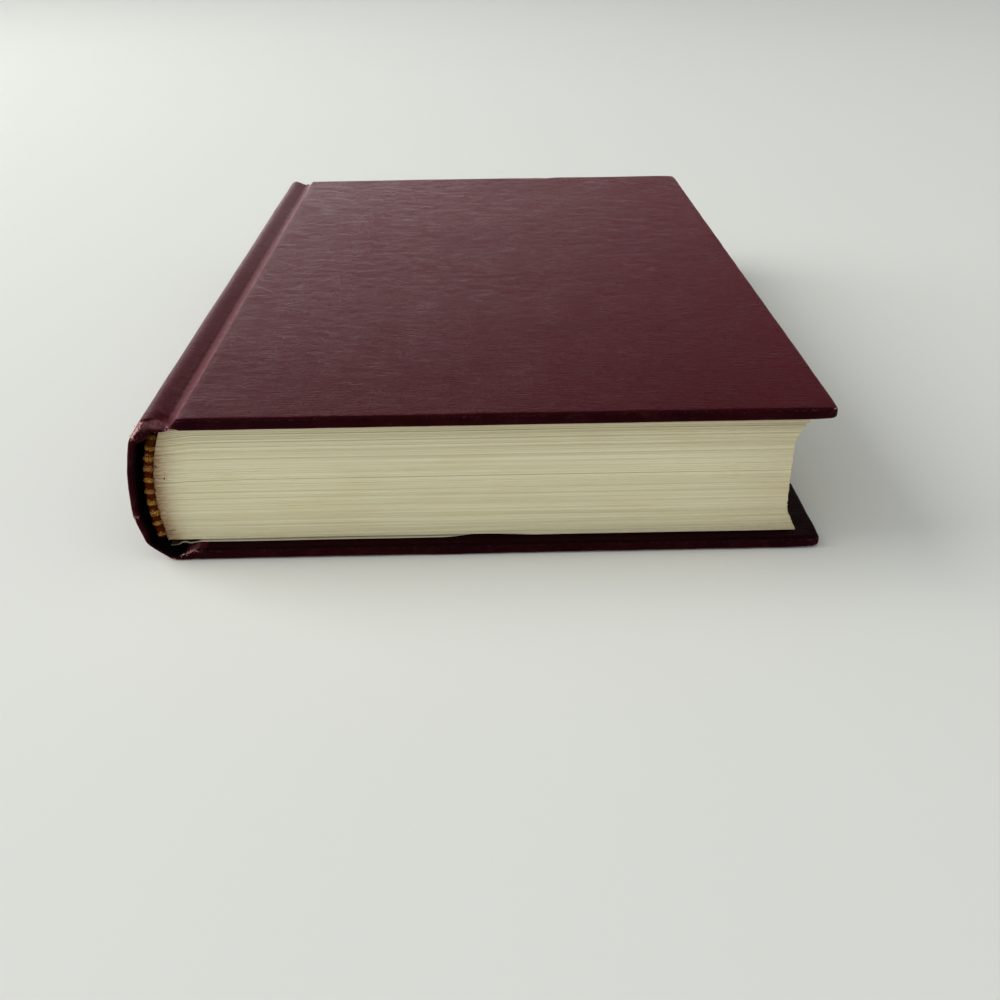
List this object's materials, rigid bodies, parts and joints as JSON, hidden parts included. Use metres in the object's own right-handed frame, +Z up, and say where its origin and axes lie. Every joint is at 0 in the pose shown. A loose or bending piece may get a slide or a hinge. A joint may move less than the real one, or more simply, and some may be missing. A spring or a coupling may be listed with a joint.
{
  "type": "hardback book",
  "caption": "Closed case-bound book: cloth-covered boards hinged at grooved joints to a rounded text block with a hollow spine, endpapers and headbands.",
  "frame": {"origin": "middle of the closed book's footprint, on the surface that it lies on", "axes": "+X towards the fore-edge, +Y towards the head, +Z up out of the front cover"},
  "size_m": [0.1608, 0.235, 0.0363],
  "materials": {
    "page_paper": "matt, cream, toned at the edges",
    "endpaper": "matt, cream",
    "lining_paper": "matt, brown",
    "mull_gauze": "open weave, starched",
    "headband_thread": "two threads, gold and red-brown",
    "binder_board": "matt, grey-brown",
    "cover_cloth": "semi-gloss maroon, fine crosswise grain"
  },
  "bodies": {
    "text_block": {"pages": "page_paper", "front_flyleaf": "endpaper", "back_flyleaf": "endpaper", "mull": "mull_gauze", "headband": "headband_thread", "tailband": "headband_thread", "spine_lining": "lining_paper", "spine_inlay": "binder_board", "spine_cloth": "cover_cloth"},
    "front_cover": {"front_board": "binder_board", "front_cover_cloth": "cover_cloth", "front_pastedown": "endpaper", "front_mull_wing": "mull_gauze"},
    "back_cover": {"back_board": "binder_board", "back_cover_cloth": "cover_cloth", "back_pastedown": "endpaper", "back_mull_wing": "mull_gauze"}
  },
  "joints": [
    {"name": "front_cover_hinge", "type": "hinge", "parent": "text_block", "child": "front_cover", "pos_m": [-0.06816, 0, 0.0365], "axis": [0, -1, 0], "range_deg": [0, 180]},
    {"name": "back_cover_hinge", "type": "hinge", "parent": "text_block", "child": "back_cover", "pos_m": [-0.06816, 0, -0.0002], "axis": [0, 1, 0], "range_deg": [0, 180]}
  ]
}
